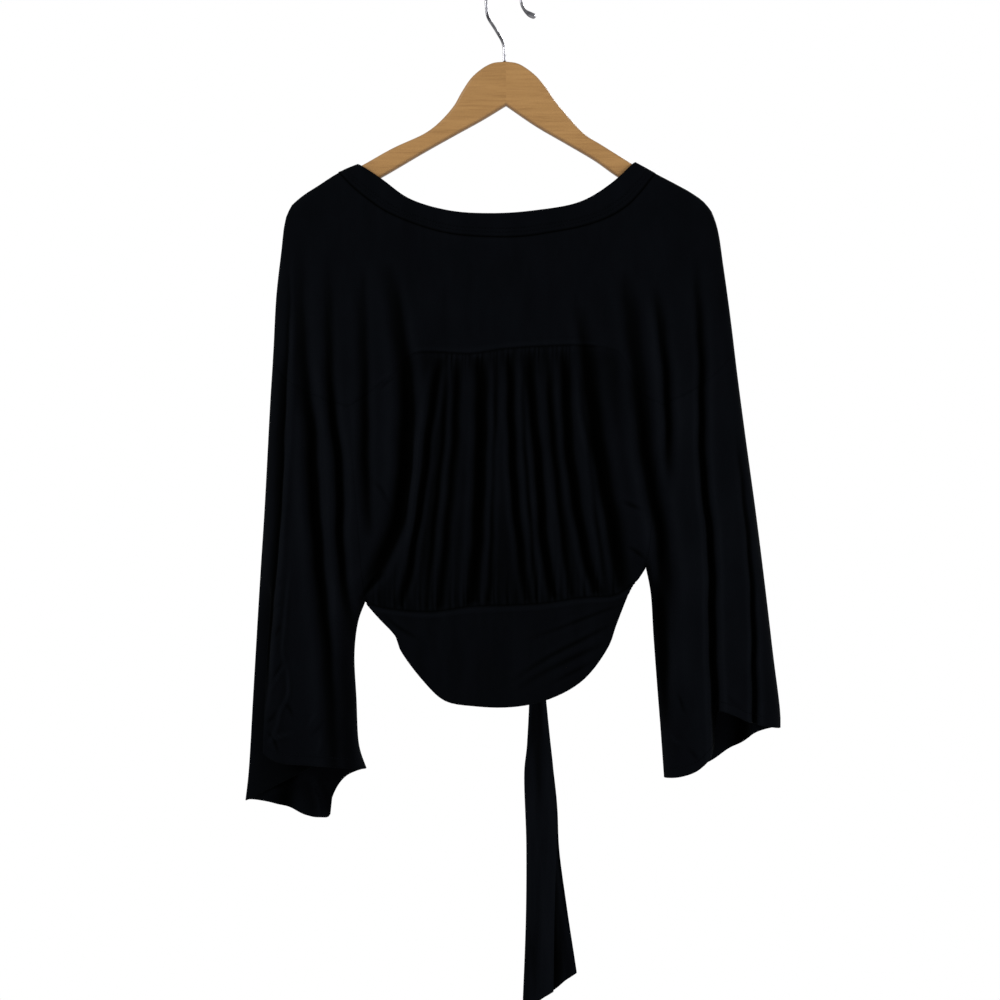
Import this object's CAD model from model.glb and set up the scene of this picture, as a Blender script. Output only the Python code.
"""Batwing wrap top in soft black jersey on a wooden hanger, seen from the back.

Metres, +Z up. The back of the garment faces -Y and the wearer's left is at -X.
Places on the garment are drawn flat on a grid, as [across, down]. Depths are in millimetres.
"""

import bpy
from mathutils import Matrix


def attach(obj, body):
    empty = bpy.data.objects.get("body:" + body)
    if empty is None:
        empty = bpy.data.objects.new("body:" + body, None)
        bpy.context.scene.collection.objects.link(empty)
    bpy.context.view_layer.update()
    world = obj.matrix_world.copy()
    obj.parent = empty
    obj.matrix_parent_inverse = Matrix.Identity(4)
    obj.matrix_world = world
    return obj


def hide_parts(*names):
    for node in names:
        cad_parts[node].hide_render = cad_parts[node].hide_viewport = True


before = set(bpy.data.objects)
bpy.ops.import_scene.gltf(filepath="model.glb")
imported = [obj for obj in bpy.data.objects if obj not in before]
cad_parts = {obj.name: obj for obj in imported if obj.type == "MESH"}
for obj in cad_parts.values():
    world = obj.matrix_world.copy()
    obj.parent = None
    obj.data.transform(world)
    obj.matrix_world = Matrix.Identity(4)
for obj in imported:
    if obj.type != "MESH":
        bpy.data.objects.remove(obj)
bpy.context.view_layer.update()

import math

import bmesh
import bpy
import numpy as np
from mathutils import Vector

# One step of the drawing grid, its middle, and the height of the rail
GRID = 0.00105
MIDDLE_ACROSS = 505
RAIL_DOWN = -19
MM = 0.001
# Points that round to the same one of this many steps in a metre are one
WELD_STEPS = 1e5
# Places this near to an edge line (grid steps) are on it
ON_LINE = 0.01

# Layers of the garment, and the way each of them faces along Y
BACK = -1
FRONT = 1

# Cloth walls
CLOTH = 0.0012
BAND_CLOTH = 0.0020

# Half depths of the hanging cloth: [down, mm], and how far in from a folded edge it reaches them
BACK_DEPTH = [[160, 9.5], [215, 10.5], [300, 15], [400, 21], [500, 27], [610, 29], [700, 30], [820, 33]]
FRONT_DEPTH = [[160, 9.5], [215, 12], [300, 20], [400, 27], [500, 31], [610, 30], [700, 32], [820, 35]]
OUTER_TURN = [[160, 9], [215, 10], [300, 15], [450, 22], [700, 28], [820, 30]]
INNER_TURN = 30
INNER_ROUND = 0.7
LEAST_DEPTH = 7

# Outline of the hanging garment: edges where the cloth folds from back to front
LEFT_OUTER = [
    [358, 165], [339, 173], [319, 186], [304, 195.5], [291, 207], [285.5, 222], [282, 251],
    [277, 295], [274, 351], [271, 399], [265, 512], [260, 589], [254, 690], [249, 774], [246, 800],
]
RIGHT_OUTER = [
    [635, 163], [655, 174], [678, 186], [694.5, 195.5], [708, 207], [716, 225], [723, 268],
    [730, 319], [737, 377], [745, 438], [755.5, 515], [765, 591], [772.5, 655], [779.6, 713],
    [779.8, 727],
]
LEFT_INNER = [[365, 601], [358, 620], [354, 652], [356, 699], [358, 741], [360.5, 753], [366, 768]]
RIGHT_INNER = [[646, 566], [651, 591], [654, 636], [658, 690], [661, 728], [664.5, 777]]

# Seams
LEFT_SHOULDER_SEAM = {"starts": 362, "then": [[289, 381], [320, 398], [350, 408]]}
RIGHT_SHOULDER_SEAM = {"starts": 352, "then": [[718, 371], [694, 390], [661, 406]]}
LEFT_SIDE_SEAM = [[350, 408], [365, 601]]
RIGHT_SIDE_SEAM = [[661, 406], [646, 566]]
YOKE_SEAM = [
    [350, 408], [378, 388], [396, 370], [414, 355], [473, 354.5], [503, 350], [547, 347],
    [592, 347], [618, 353], [628, 371], [640, 394], [661, 406],
]
NECK_SEAM = [
    [339, 173], [352, 187], [369, 201], [389, 214], [437, 232], [470, 237], [517, 238],
    [554, 233], [584, 227], [609, 218], [628, 206], [642, 191], [655, 174],
]
NECK_EDGE = [
    [358, 165], [381, 180], [409, 200], [448, 212], [493, 215], [536, 212],
    [581, 203], [611, 185], [635, 163],
]
WAIST_SEAM = [
    [365, 601], [372, 604], [391, 608], [432, 611], [471, 606], [540, 603], [581, 597],
    [615, 594], [634, 581], [646, 566],
]
BAND_EDGE = [
    [365, 601], [381, 617], [398, 635.5], [401, 646], [426, 680], [446, 698], [473, 703],
    [511, 704], [546, 697], [581, 678], [607, 644], [614.5, 623], [634, 578], [646, 566],
]

# Wrap fronts: their neckline edges and the neckband's seams, from the neck point to the waist
LEFT_WRAP_EDGE = [[358, 165], [395, 240], [480, 395], [600, 597]]
LEFT_WRAP_SEAM = [[339, 173], [373, 250], [460, 407], [572, 597]]
RIGHT_WRAP_EDGE = [[635, 163], [606, 240], [535, 395], [440, 609]]
RIGHT_WRAP_SEAM = [[655, 174], [628, 250], [556, 405], [467, 606]]
# Shoulder rims, as (down, down) along the outline. Ribs of a front run to the side seam down to the
# turn, and to the waist below it. Their feet are the last (down, across) of a wrap's seam and waist.
LEFT_SHOULDER = (352, 173)
RIGHT_SHOULDER = (174, 343)
WRAP_TURN = 245
LEFT_WRAP_FOOT = (590, 569)
RIGHT_WRAP_FOOT = (600, 471)
WAIST_ENDS = (365.5, 645.5)
# The left front draws back (mm) where it nears the right one's edge, over so many grid steps,
# and below a place, over so many more
UNDER_LAYER = {"deep": 6, "near": 30, "below": 330, "grows": 80}
# Two rows of stitches hold the neckband, in channels at these shares of its depth
BAND_ROWS = (0.64, 0.80)
# Channels in a band: half width as a share of its depth, how deep (mm) and how dark
ROW_CHANNEL = (0.035, 0.40, 0.16)
SEAM_CHANNEL = (0.06, 0.50, 0.70)
NECK_CHANNELS = [(BAND_ROWS[0], *ROW_CHANNEL), (BAND_ROWS[1], *ROW_CHANNEL), (1.0, *SEAM_CHANNEL)]

# Sleeve hems, of the near (back) and far (front) layer
LEFT_BACK_HEM = [
    [262, 743.5], [266, 750], [274, 756], [286, 760], [314, 762], [342, 765], [358, 767], [366, 768],
]
LEFT_FRONT_HEM = [
    [246, 800], [271, 807], [285, 809], [302, 819], [326, 821], [330, 800], [342, 781], [366, 768],
]
RIGHT_BACK_HEM = [
    [664.5, 777], [678, 774], [695, 767], [706, 757], [711, 749], [714, 724], [717, 709],
    [732, 713], [745, 719], [756, 722], [779.8, 727],
]
RIGHT_FRONT_HEM = [[664.5, 777], [678, 774], [710, 766], [738, 747], [762, 734], [779.8, 727]]

# Pleat doubled under near the outer edge of the left cuff: the share of the sleeve's width that it
# takes, how far it reaches over (grid steps), and how far down it starts, is whole and turns its hem
TUCK = {"share": 0.14, "reach": 54, "from": 560, "to": 760, "corner": 800, "turn": 766, "lip": 743.5,
        "turns_over": 60, "rounds": 1.3, "dark": 0.55}

# Folds that fall down the cloth: the half width of a trough to its left and to its right (grid
# steps), and its line of [across, down, depth]. A negative depth is a ridge.
BACK_FOLDS = [
    ((8, 1.6), [[291, 240, 0], [288, 389, 4.2], [285, 467, 4.8], [280, 554, 4.5], [273, 641, 3.6],
        [268, 700, 2], [263, 735, 0]]),
    ((1.8, 3.5), [[294, 300, 0], [292, 389, -2.2], [288.5, 467, -2.5], [283.5, 554, -2.4],
        [278, 610, -1.8], [274, 650, -1.4], [270, 693, -1.2], [264, 745, 0]]),
    ((9, 6), [[300, 232, 0], [307, 390, 8], [312, 423, 10], [316, 480, 12], [320, 532, 13],
        [323, 590, 12], [328, 640, 10], [332, 700, 6], [334, 770, 3]]),
    ((14, 14), [[338, 560, 0], [342, 610, 4], [344, 680, 8], [345, 730, 8], [346, 770, 6]]),
    ((6, 5), [[327, 250, 0], [333, 400, 8], [340, 469, 11], [342, 538, 11], [347, 589, 6],
        [352, 640, 0]]),
    ((7, 5), [[364, 255, 0], [366, 434, 7], [369, 500, 5], [370, 540, 0]]),
    ((10, 7), [[390, 262, 0], [400, 330, 8], [409, 400, 14], [406, 480, 15], [396, 530, 12],
        [376, 575, 5], [366, 594, 0]]),
    ((6, 9), [[578, 305, 0], [585, 360, 7], [592, 410, 11], [600, 470, 13], [612, 540, 11], [620, 585, 3],
        [622, 592, 0]]),
    ((8, 10), [[624, 270, 0], [632, 330, 8], [638, 390, 11], [646, 457, 13], [658, 530, 13],
        [664, 600, 10], [666, 690, 3], [667, 730, 0]]),
    ((9, 6), [[652, 560, 0], [657, 600, 7], [660, 640, 9], [663, 690, 6], [665, 740, 0]]),
    ((5, 6), [[655, 285, 0], [662, 350, 7], [667, 440, 8], [668, 500, 0]]),
    ((4, 5), [[695, 250, 0], [699, 350, 6], [702, 476, 11], [708, 553, 13], [711, 650, 15],
        [713, 750, 17]]),
    ((2.5, 4), [[735, 430, 0], [741, 492, 3], [747, 572, 5], [751, 640, 8], [751, 727, 11]]),
]
# Folds of the gathered body, from the yoke seam to the waist
BODY_FOLDS = [
    ((5, 4), [[440, 358, 0], [437, 381, 5], [431, 424, 7], [424, 478, 8], [415, 535, 8], [410, 575, 6],
        [402, 606, 2]]),
    ((4, 5), [[459, 358, 0], [457, 380, 4], [455, 424, 5], [451, 485, 4], [446, 550, 5], [440, 604, 3]]),
    ((6, 7), [[478, 354, 0], [480, 375, 6], [480, 424, 11], [480, 478, 12], [478, 535, 11], [475, 563, 9],
        [470, 604, 5]]),
    ((4, 5), [[509, 352, 0], [510, 381, 6], [510, 424, 8], [514, 488, 9], [519, 535, 8], [522, 570, 5],
        [526, 602, 2]]),
    ((5, 5), [[530, 350, 0], [531, 381, 6], [535, 435, 9], [539, 485, 10], [543, 535, 10], [550, 578, 7],
        [555, 600, 3]]),
    ((5, 6), [[562, 350, 0], [564, 381, 7], [567, 435, 10], [574, 488, 11], [582, 542, 10], [589, 575, 7],
        [595, 594, 3]]),
    ((9, 9), [[445, 370, 0], [441, 420, 3], [434, 480, 3.5], [428, 540, 3], [424, 590, 0]]),
    ((8, 8), [[549, 370, 0], [553, 430, 3], [560, 490, 3], [568, 550, 2.5], [575, 590, 0]]),
    ((3, 3), [[421, 420, 0], [418, 460, -2.5], [412, 520, -3], [404, 575, 0]]),
    ((3, 3), [[447, 370, 0], [445, 410, 2], [440, 470, 2.5], [434, 540, 2.5], [428, 604, 1]]),
    ((3, 3), [[494, 356, 0], [495, 400, 2.5], [494, 470, 2], [491, 540, 3], [488, 604, 2]]),
    ((3, 3), [[522, 352, 0], [523, 400, 2], [527, 470, 2.5], [531, 540, 2.5], [536, 602, 2]]),
    ((3, 4), [[547, 352, 0], [549, 400, 2.5], [556, 470, 2.5], [562, 540, 3], [570, 598, 2]]),
    ((3, 4), [[577, 360, 0], [582, 410, 2.5], [590, 470, 2.5], [599, 540, 2.5], [606, 594, 1]]),
]
FRONT_FOLDS = [
    ((9, 9), [[306, 240, 0], [303, 400, 9], [296, 560, 12], [288, 700, 10], [284, 815, 9]]),
    ((8, 8), [[334, 260, 0], [336, 430, 8], [332, 600, 12], [330, 700, 6], [330, 770, 0]]),
    ((9, 7), [[380, 270, 0], [392, 400, 9], [392, 500, 10], [378, 570, 0]]),
    ((9, 7), [[420, 340, 0], [430, 470, 7], [428, 560, 4], [425, 600, 0]]),
    ((7, 9), [[600, 340, 0], [592, 470, 7], [592, 560, 4], [594, 590, 0]]),
    ((7, 9), [[628, 270, 0], [624, 400, 9], [632, 500, 10], [642, 550, 0]]),
    ((8, 8), [[676, 260, 0], [682, 430, 8], [692, 600, 13], [698, 770, 14]]),
    ((9, 9), [[706, 240, 0], [716, 400, 9], [732, 560, 14], [744, 740, 15]]),
]

# Short soft creases that run any way: a half width, and a line of [across, down, depth]
BACK_CREASES = [
    (2.6, [[613, 621, 0], [585, 636, 1.6], [548, 655, 1.6], [507, 682, 0]]),
    (3.2, [[606, 640, 0], [576, 654, 1.8], [540, 672, 1.2], [512, 690, 0]]),
    (2.2, [[622, 603, 0], [596, 612, 1.2], [560, 626, 1.0], [520, 640, 0]]),
    (2.4, [[598, 656, 0], [572, 670, 1.2], [545, 684, 0]]),
    (2.4, [[384, 612, 0], [400, 626, 1.2], [425, 640, 0]]),
    (1.6, [[374, 389, 0], [383, 381, -1.6], [390, 375, -1.6], [396, 370, 0]]),
    (1.6, [[380, 392, 0], [388, 384, 1.3], [397, 378, 0]]),
    (3.0, [[386, 570, 0], [374, 582, 3.5], [362, 597, 1.5]]),
    (2.6, [[372, 478, 0], [384, 492, 1.6], [392, 512, 0]]),
    (2.6, [[618, 500, 0], [632, 506, 1.8], [645, 512, 0]]),
    (2.4, [[625, 545, 0], [636, 552, 1.8], [648, 561, 0]]),
]
CUFF_CREASES = [
    (1.9, [[293, 565, 0], [290, 590, -1.5], [287, 625, -1.7], [285, 650, -1.4], [288, 664, 0]]),
    (1.8, [[289, 660, 0], [291, 680, -1.7], [290, 694, -1.9], [283, 708, -1.7], [280, 722, -1.7],
        [273, 739, -0.6]]),
    (1.7, [[271, 694, 0], [277, 680, -1.4], [284, 668, -1.2], [289, 662, 0]]),
    (1.6, [[276, 676, 0], [281, 668, 1.3], [286, 656, 0]]),
    (1.5, [[277, 590, 0], [281, 583, 1.2], [286, 578, 0]]),
    (1.5, [[275, 612, 0], [280, 604, 1.2], [286, 602, 0]]),
    (1.6, [[273, 640, 0], [279, 632, 1.3], [284, 622, 0]]),
    (2.0, [[266, 722, 0], [274, 716, 1.4], [280, 706, 0]]),
    (2.0, [[268, 742, 0], [277, 735, -1.6], [287, 732, -1.3], [298, 729, 0]]),
    (1.8, [[270, 728, 0], [277, 738, 1.4], [282, 752, 0]]),
    (2.2, [[308, 728, 0], [314, 718, -1.4], [321, 708, 0]]),
    (2.0, [[312, 734, 0], [319, 727, 1.3], [327, 716, 0]]),
    (2.2, [[318, 752, 0], [322, 742, -1.2], [324, 728, 0]]),
    (2.2, [[286, 700, 0], [292, 706, 1.2], [296, 716, 0]]),
    (2.2, [[674, 690, 0], [679, 698, 1.4], [681, 706, 1.2], [685, 712, 0]]),
    (2.2, [[668, 728, 0], [674, 738, -1.3], [683, 742, 0]]),
    (2.6, [[682, 742, 0], [692, 752, 1.2], [697, 762, 0]]),
    (3.0, [[722, 690, 0], [730, 700, 1.2], [742, 706, 0]]),
]
FAR_CREASES = [
    (3.2, [[432, 622, 0], [480, 630, 2.2], [527, 638, 3.2]]),
    (3.0, [[446, 664, 0], [488, 656, 2.0], [527, 647, 3.0]]),
    (2.6, [[470, 610, 0], [500, 617, 1.8], [527, 630, 2.5]]),
    (3.0, [[546, 636, 3.2], [568, 624, 2.2], [592, 608, 0]]),
    (3.0, [[546, 648, 3.0], [566, 648, 1.8], [588, 636, 0]]),
    (4, [[250, 799, 0], [268, 791, 4], [288, 782, 4], [305, 772, 0]]),
    (5.5, [[307, 778, 0], [313, 793, -6], [318, 806, -7], [319, 822, -6]]),
]

# Gathers, as small ripples: where they run, how many, how high (mm), over how many grid steps they
# start and fade, and the seed of their unevenness
YOKE_GATHERS = {"from": 436, "to": 577, "count": 27, "high": 1.1, "start": 2.5, "fade": 9, "seed": 5}
WAIST_GATHERS = {"from": 375, "to": 620, "count": 33, "high": 1.4, "start": 3.5, "fade": 15, "seed": 6}
LEFT_FRONT_GATHERS = {"from": 385, "to": 548, "count": 16, "high": 1.5, "start": 4, "fade": 34, "seed": 7}
RIGHT_FRONT_GATHERS = {
    "from": 494, "to": 622, "count": 13, "high": 1.5, "start": 4, "fade": 34, "seed": 7,
}
# They die out over this width at both ends, begin this share of it early, drift from even spacing by
# (turns, rate, start), and sway by (turns, grid steps) away from the seam
GATHER_ENDS = (8, 0.5)
GATHER_DRIFT = [(0.30, 0.19, 0), (0.22, 0.43, 1)]
GATHER_SWAY = (0.10, 9)
# Limits of their uneven strength and reach, and how often in each gather, and how far past the ends
# (grid steps), these are drawn
GATHER_STRENGTH = (0.1, 1.4)
GATHER_REACH = (0.4, 1.9)
GATHER_DRAWS = 3
GATHER_PAST = 10

# Small unevenness of hanging jersey: size of a cell across and down (grid steps), and height in mm
UNEVEN = [((31, 90), 1.0), ((12, 44), 0.45), ((5, 15), 0.16)]
UNEVEN_CELLS = 96
UNEVEN_SEEDS = {BACK: 11, FRONT: 21}

# Seams sink into the cloth: depth in mm, half width in grid steps, and the yoke seam's gathered stretch
NECK_SINK = 0.7
YOKE_SINK = 0.9
WAIST_SINK = 0.9
QUIET_SINK = 0.3
SEAM_WIDE = 1.6
GATHERED_YOKE = (412, 596)
# Edge of a panel that rolls proud beside its seam: distance off and half width (grid steps), height in
# mm and the waist's share of it. Then the stretches that roll, as (from, to, width of the ends).
ROLL = {"off": 3.2, "wide": 1.7, "high": 1.0, "waist_share": 0.8}
YOKE_ROLL = (410, 600, 8)
WAIST_ROLL = (368, 642, 6)
# Cloth lies darker in a hollow and lighter on a ridge: how far round a place counts (grid steps),
# and the height over that stretch (mm) that counts as one
HOLLOWS = [(12, 8.5), (2.5, 2.7)]
# Parts that face away from the light lie darker, and those that face it lighter
BODY_SHADE = 0.40
BAND_SHADE = 0.12
LEFT_SLEEVE_SHADE = 0.02
RIGHT_SLEEVE_SHADE = -0.06
# Middle of the body that lies darker: where it runs, how far each end spreads (grid steps) and over
# which stretch down, then the width and early share of its ends, and of its start at the yoke seam
BODY_DARK = {"from": 398, "to": 630, "spreads": (40, 18), "below": 400, "grows": 200,
             "ends": (32, 0.3), "seam": (30, 0.5)}
# Folds of the gathered body grow below the yoke seam and fade above the waist seam (grid steps)
BODY_FOLD = {"grows": 6, "fades": 10, "early": 0.2}
# Lips of cloth that stand up beside a fold: place and half width in half widths of the fold, and height
# as a share of its depth
LIP = {"at": 1.75, "wide": 0.8, "high": 0.10}
# The main folds wander a little as they fall: (grid steps sideways, grid steps down for one turn).
# Each starts at another turn, by its number squared.
WANDER = [(0.8, 187), (0.35, 53)]
WANDER_START = 0.387
# Folds level out softly before they reach the full depth
SOFT_LIMIT = 1.05
# No crease acts farther than this from its middle (grid steps)
CREASE_REACH = 80

# Knot and tie, in front of the waistband
KNOT = {"across": 537, "down": 642, "half": (15, 9, 20), "seat": 7.4, "core": 0.80}
# Each wrap is a band round the knot: [lean in degrees, offset, half width, height]
KNOT_WRAPS = [(8, 0.05, 0.42, 0.20), (58, -0.32, 0.30, 0.15), (-52, 0.36, 0.30, 0.14),
              (24, -0.62, 0.24, 0.10), (-18, 0.66, 0.22, 0.10)]
# Small pleats run along each wrap: share of its height, how close they lie and how they lean
KNOT_PLEATS = (0.10, 14, 3)
# Stretches of the waist seam that the front bands hang from
LEFT_BAND_SEAM = (366, 492)
RIGHT_BAND_SEAM = (580, 645)
TIE_MOUTH = [[500, 605.2], [519, 605.6], [536, 609]]
TIE_MOUTH_RIGHT = [[538, 609], [554, 604.6], [574, 599]]
LEFT_BAND_EDGE = [
    [366, 603], [384, 617], [402, 642], [428, 672], [462, 686], [500, 678], [526, 664], [536, 656],
]
RIGHT_BAND_EDGE = [[538, 656], [548, 663], [566, 670], [590, 652], [610, 625], [630, 583], [645.5, 568]]
NEAR_TAIL = {
    "left": [[531, 664], [530, 702], [527.5, 751], [525, 775], [527, 850], [526.5, 925], [523, 1019]],
    "right": [[542, 664], [546, 702], [549, 730], [554, 775], [557, 825], [555, 925], [554, 999]],
    "fold": 3.2, "swings": -2, "behind": -2.5, "shade": (-0.3, -0.7),
}
FAR_TAIL = {
    "left": [[533, 664], [536, 751], [541, 850], [545, 925], [549, 1003]],
    "right": [[543, 664], [546.5, 702], [553, 766], [558, 811], [560, 855], [567, 909], [578, 982]],
    "fold": 3.0, "swings": 4, "behind": 2.5, "shade": (0.75, -0.1),
}
# A tail starts this share of the knot's half height below its middle, narrows there, and hangs open
# after shares of its length
TAIL_START = 0.72
TAIL_MOUTH = {"narrow": 0.8, "opens": 14, "whole": 8, "settles": 4}
# Its fold turns so often across and down. A small wave and crumples lie over it, heights in mm.
TAIL_FOLD = (0.9, 0.6)
TAIL_WAVE = {"high": 0.7, "across": 2.3, "down": -1.4, "start": 0.2, "tone": 0.12}
TAIL_CRUMPLE = {"high": 0.8, "across": 5, "down": 1.5, "tone": 0.45}

# Hanger
BOARD = 0.012
BOARD_ROUND = 0.0036
MITRE_ACROSS = 506
MITRE_REACH = 8
LEFT_ARM = [
    [506, 62], [491, 64], [473, 76.5], [462, 92], [454, 106], [440, 122], [426, 133], [393, 148.5],
    [362, 165.8], [339, 177.4], [319, 189.8], [308, 197], [301, 203.5], [302, 211], [310, 214],
    [340, 199.5], [381, 178], [422, 154], [454, 136], [483, 120], [506, 106],
]
RIGHT_ARM = [
    [506, 62], [518, 64], [534, 74.5], [546, 88], [554, 100], [564.5, 113], [585, 135], [601, 145],
    [632, 164.4], [655, 178.4], [678, 190], [690, 197.5], [698, 205], [698.5, 212], [691, 216],
    [662, 200.5], [620, 178.5], [595, 161], [564.5, 143], [536, 126.5], [506, 106],
]
WIRE = 0.0032
HOOK_TIP = 0.0060
HOOK = [
    [504.5, 61.6], [504.3, 52], [503, 43], [495.5, 29.5], [488, 17], [486.5, 7], [486.5, -3], [490, -13],
    [497, -19], [505, -20.6], [513, -19], [519.5, -13], [521.8, -5], [521.5, 3], [524.5, 10], [530, 14.5],
    [536, 17],
]


def x_of(across):
    return (np.asarray(across, float) - MIDDLE_ACROSS) * GRID


def z_of(down):
    return (RAIL_DOWN - np.asarray(down, float)) * GRID


def mix(start, end, share):
    return start + (end - start) * share


def ease(share):
    t = np.clip(share, 0, 1)
    return t * t * (3 - 2 * t)


def within(place, start, end, wide, early=0.0):
    """1 between two places and 0 outside, with soft ends."""
    return ease((place - start) / wide + early) * ease((end - place) / wide + early)


def unit(vectors):
    return vectors / np.maximum(np.linalg.norm(vectors, axis=-1, keepdims=True), 1e-12)


def run_along(points):
    """Length along a line of points up to each of them."""
    return np.concatenate([[0], np.cumsum(np.linalg.norm(np.diff(points, axis=0), axis=1))])


def interpolated(points, run, places):
    """Points at places along a line whose points lie at these lengths."""
    return np.stack([np.interp(places, run, column) for column in points.T], axis=-1)


def drawn(points, count=60, steps=24):
    """A drawn line made smooth, as evenly spaced points (centripetal Catmull-Rom)."""
    p = np.asarray(points, float)
    p = np.vstack([2 * p[0] - p[1], p, 2 * p[-1] - p[-2]])
    t = np.linspace(0, 1, steps, endpoint=False)[:, None]
    pieces = []
    for before, start, end, after in zip(p[:-3], p[1:-2], p[2:-1], p[3:]):
        pairs = ((start, before), (end, start), (after, end))
        first, middle, last = [math.sqrt(max(np.linalg.norm(q - r), 1e-6)) for q, r in pairs]
        pace = (end - start) / middle
        leave = ((start - before) / first - (end - before) / (first + middle) + pace) * middle
        arrive = (pace - (after - start) / (middle + last) + (after - end) / last) * middle
        curve = start + leave * t + (3 * (end - start) - 2 * leave - arrive) * t**2
        pieces.append(curve + (2 * (start - end) + leave + arrive) * t**3)
    dense = np.vstack(pieces + [p[-2:-1]])
    run = run_along(dense[:, :2])
    return interpolated(dense, run, np.linspace(0, run[-1], count + 1))


def point_at(line, share):
    """Points at shares of a line's length, as (across, down)."""
    place = np.clip(share, 0, 1) * (len(line) - 1)
    steps = np.arange(len(line))
    return np.interp(place, steps, line[:, 0]), np.interp(place, steps, line[:, 1])


def across_at(line, down):
    return np.interp(down, line[:, 1], line[:, 0])


def down_at(line, across):
    return np.interp(across, line[:, 0], line[:, 1])


left_outer = drawn(LEFT_OUTER)
right_outer = drawn(RIGHT_OUTER)
left_inner = drawn(LEFT_INNER, count=30)
right_inner = drawn(RIGHT_INNER, count=30)
yoke_seam = drawn(YOKE_SEAM)
neck_seam = drawn(NECK_SEAM)
neck_edge = drawn(NECK_EDGE)
waist_seam = drawn(WAIST_SEAM)
band_edge = drawn(BAND_EDGE)
left_wrap_edge = drawn(LEFT_WRAP_EDGE)
left_wrap_seam = drawn(LEFT_WRAP_SEAM)
right_wrap_edge = drawn(RIGHT_WRAP_EDGE)
right_wrap_seam = drawn(RIGHT_WRAP_SEAM)


def from_outline(outer, seam):
    start = [float(across_at(outer, seam["starts"])), seam["starts"]]
    return drawn([start] + seam["then"], count=24)


left_shoulder_seam = from_outline(left_outer, LEFT_SHOULDER_SEAM)
right_shoulder_seam = from_outline(right_outer, RIGHT_SHOULDER_SEAM)


def nearest(line, a, b):
    """How far places are from a line, and the share of the line nearest to them."""
    best = np.full(a.shape, np.inf)
    where = np.zeros(a.shape)
    for i in range(len(line) - 1):
        (from_a, from_b), (to_a, to_b) = line[i][:2], line[i + 1][:2]
        step_a, step_b = to_a - from_a, to_b - from_b
        share = np.clip(((a - from_a) * step_a + (b - from_b) * step_b) / (step_a**2 + step_b**2), 0, 1)
        far = np.hypot(a - from_a - share * step_a, b - from_b - share * step_b)
        closer = far < best
        best = np.where(closer, far, best)
        where = np.where(closer, i + share, where)
    return best, where / (len(line) - 1)


def roundness(a, b):
    """1 in the open cloth, down to 0 along the folded edges of the outline."""
    whole = np.ones(a.shape)
    for line in (left_outer, right_outer):
        near = np.clip(nearest(line, a, b)[0] / np.interp(b, *np.transpose(OUTER_TURN)), 0, 1)
        whole *= np.sqrt(1 - (1 - near) ** 2)
    for line, way in ((left_inner, -1), (right_inner, 1)):
        underarm = line[0][1]
        in_sleeve = (b > underarm) & (way * (a - across_at(line, b)) > -ON_LINE)
        # Beyond the underarm the body only knows the underarm point
        far = np.where(in_sleeve | (b <= underarm), nearest(line, a, b)[0], nearest(line[:2], a, b)[0])
        near = np.clip(far / INNER_TURN, 0, 1)
        whole *= (1 - (1 - near) ** 2) ** INNER_ROUND
    return whole


def troughs(folds, a, b):
    """Depth of folds that fall down the cloth."""
    total = np.zeros(a.shape)
    for number, (wide, points) in enumerate(folds):
        line = drawn(points, count=40)
        off = a - np.interp(b, line[:, 1], line[:, 0])
        for reach, turn in WANDER:
            off = off + reach * np.sin(2 * math.pi * (b / turn + WANDER_START * number * number))
        off = off / np.where(off < 0, *wide)
        deep = np.interp(b, line[:, 1], line[:, 2], left=0)
        shape = np.exp(-(off**2))
        for side in (-1, 1):
            shape -= LIP["high"] * np.exp(-(((off - side * LIP["at"]) / LIP["wide"]) ** 2))
        total += deep * shape
    return total


def creases(folds, a, b):
    """Depth of short folds that run any way."""
    total = np.zeros(a.shape)
    for wide, points in folds:
        line = drawn(points, count=16)
        middle_a, middle_b, _ = line.mean(axis=0)
        near = (np.abs(a - middle_a) < CREASE_REACH) & (np.abs(b - middle_b) < CREASE_REACH)
        if near.any():
            far, share = nearest(line, a[near], b[near])
            deep = np.interp(share, np.linspace(0, 1, len(line)), line[:, 2])
            total[near] += deep * np.exp(-((far / wide) ** 2))
    return total


def unevenness(a, b, seed):
    """Smooth random height, in mm."""
    total = np.zeros(a.shape)
    for number, ((cell_across, cell_down), high) in enumerate(UNEVEN):
        table = np.random.default_rng(seed + number).uniform(-1, 1, (UNEVEN_CELLS + 1, UNEVEN_CELLS + 1))
        u, v = a / cell_across, b / cell_down
        i, j = np.floor(u).astype(int) % UNEVEN_CELLS, np.floor(v).astype(int) % UNEVEN_CELLS
        s, t = ease(u - np.floor(u)), ease(v - np.floor(v))
        upper = mix(table[i, j], table[i + 1, j], s)
        total += high * mix(upper, mix(table[i, j + 1], table[i + 1, j + 1], s), t)
    return total


def ripple(kind, a, away):
    """Uneven gathers that begin at a seam and fade away from it."""
    away = np.maximum(away, 0)
    turns = kind["count"] * (a - kind["from"]) / (kind["to"] - kind["from"])
    for high, rate, start in GATHER_DRIFT:
        turns = turns + high * np.sin(rate * a + start)
    turns = turns + GATHER_SWAY[0] * np.sin(away / GATHER_SWAY[1])
    draws = np.random.default_rng(kind["seed"])
    ends = kind["from"] - GATHER_PAST, kind["to"] + GATHER_PAST
    knots = np.linspace(*ends, GATHER_DRAWS * kind["count"])
    strength = np.interp(a, knots, draws.uniform(*GATHER_STRENGTH, len(knots)))
    reach = np.interp(a, knots, draws.uniform(*GATHER_REACH, len(knots)))
    height = kind["high"] * (1 - np.exp(-away / kind["start"])) * np.exp(-away / (kind["fade"] * reach))
    inside = within(a, kind["from"], kind["to"], *GATHER_ENDS)
    return inside * strength * height * np.cos(2 * math.pi * turns)


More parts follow.
